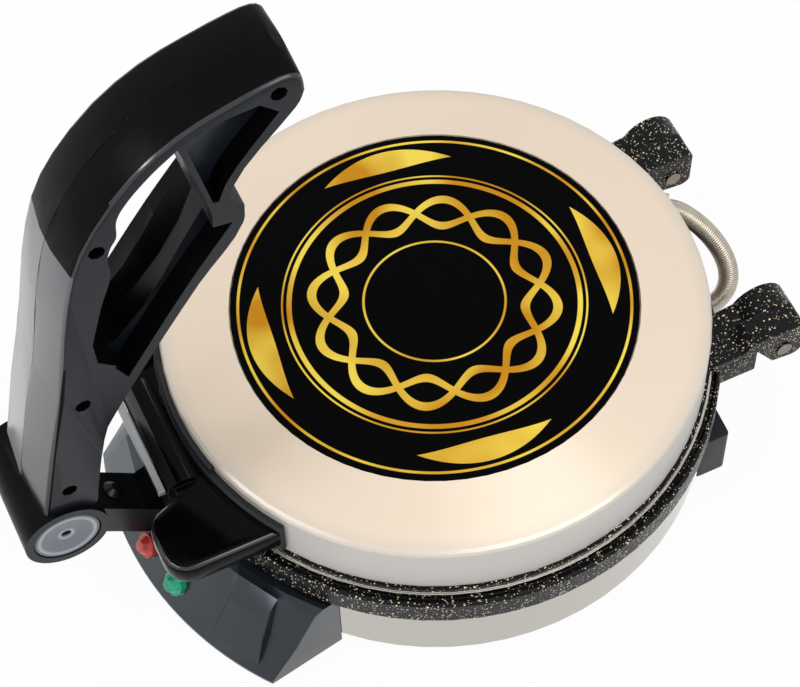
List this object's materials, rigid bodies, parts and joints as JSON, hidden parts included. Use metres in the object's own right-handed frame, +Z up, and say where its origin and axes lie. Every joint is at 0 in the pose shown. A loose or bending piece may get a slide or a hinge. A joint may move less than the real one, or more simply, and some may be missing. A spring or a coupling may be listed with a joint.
{
  "type": "electric roti maker",
  "caption": "Round electric roti maker: two hinged cooking plates in a steel base and lid, lid handle, and a tall folding press lever with a finger slot on a front bracket.",
  "frame": {"origin": "centre of the object's box at the floor, under its rubber pads", "axes": "+Z up, +Y towards the hinges, -Y towards the user and the press lever"},
  "size_m": [0.252, 0.3542, 0.3112],
  "materials": {
    "polished_steel": "polished stainless steel with a warm reflection",
    "zinc_sheet": "zinc plated sheet",
    "granite_coating": "black non-stick coating with fine white and gold specks",
    "disc_print": "glossy black printed disc",
    "aluminised_sheet": "mill finish",
    "heater_sheath": "oxidised",
    "fastener_steel": "plain steel",
    "conduit_steel": "wound steel strip",
    "black_steel": "black paint",
    "black_gloss": "moulded, polished",
    "black_matt": "moulded, satin",
    "cap_grey": "moulded, satin",
    "pad_rubber": "moulded",
    "terminal_white": "ceramic-like",
    "lens_green": "translucent faceted lens",
    "lens_red": "translucent faceted lens"
  },
  "bodies": {
    "base": {"base_band": "polished_steel", "base_pan": "zinc_sheet", "bracket_bolt": "black_steel", "bracket_nut": "fastener_steel", "bracket_screw": "fastener_steel", "conduit": "conduit_steel", "conduit_ferrule_base": "conduit_steel", "cord_gland": "black_matt", "front_panel": "black_gloss", "hinge_pin_left": "fastener_steel", "hinge_pin_right": "fastener_steel", "lamp_green": "lens_green", "lamp_red": "lens_red", "lever_bracket": "black_steel", "lower_heat_shield": "aluminised_sheet", "lower_heater": "heater_sheath", "lower_plate": "granite_coating", "lower_post_1": "heater_sheath", "lower_post_2": "heater_sheath", "lower_post_3": "heater_sheath", "pivot_pin": "fastener_steel", "rear_foot_left": "black_matt", "rear_foot_right": "black_matt", "rubber_pad_front_left": "pad_rubber", "rubber_pad_front_right": "pad_rubber", "rubber_pad_rear_left": "pad_rubber", "rubber_pad_rear_right": "pad_rubber", "terminal_block": "terminal_white", "thermostat": "heater_sheath"},
    "lid": {"upper_plate": "granite_coating", "lid_cover": "polished_steel", "lid_disc": "disc_print", "upper_heater": "heater_sheath", "upper_heat_shield": "aluminised_sheet", "upper_post_1": "heater_sheath", "upper_post_2": "heater_sheath", "upper_post_3": "heater_sheath", "conduit_ferrule_lid": "conduit_steel", "lid_handle": "black_gloss", "handle_backplate": "black_matt", "handle_strip": "polished_steel", "handle_screw_left": "fastener_steel", "handle_screw_right": "fastener_steel"},
    "lever": {"lever_shell_left": "black_gloss", "lever_shell_right": "black_gloss", "lever_screw_1": "fastener_steel", "lever_screw_2": "fastener_steel", "lever_screw_3": "fastener_steel", "lever_screw_4": "fastener_steel", "pivot_cap_left": "cap_grey", "pivot_cap_right": "cap_grey"}
  },
  "joints": [
    {"name": "lid_hinge", "type": "hinge", "parent": "base", "child": "lid", "pos_m": [0, 0.16335, 0.054], "axis": [-1, 0, 0], "range_deg": [0, 95], "deforming": ["conduit"]},
    {"name": "lever_pivot", "type": "hinge", "parent": "base", "child": "lever", "pos_m": [0, -0.15865, 0.076], "axis": [-1, 0, 0], "range_deg": [-15, 51]}
  ]
}
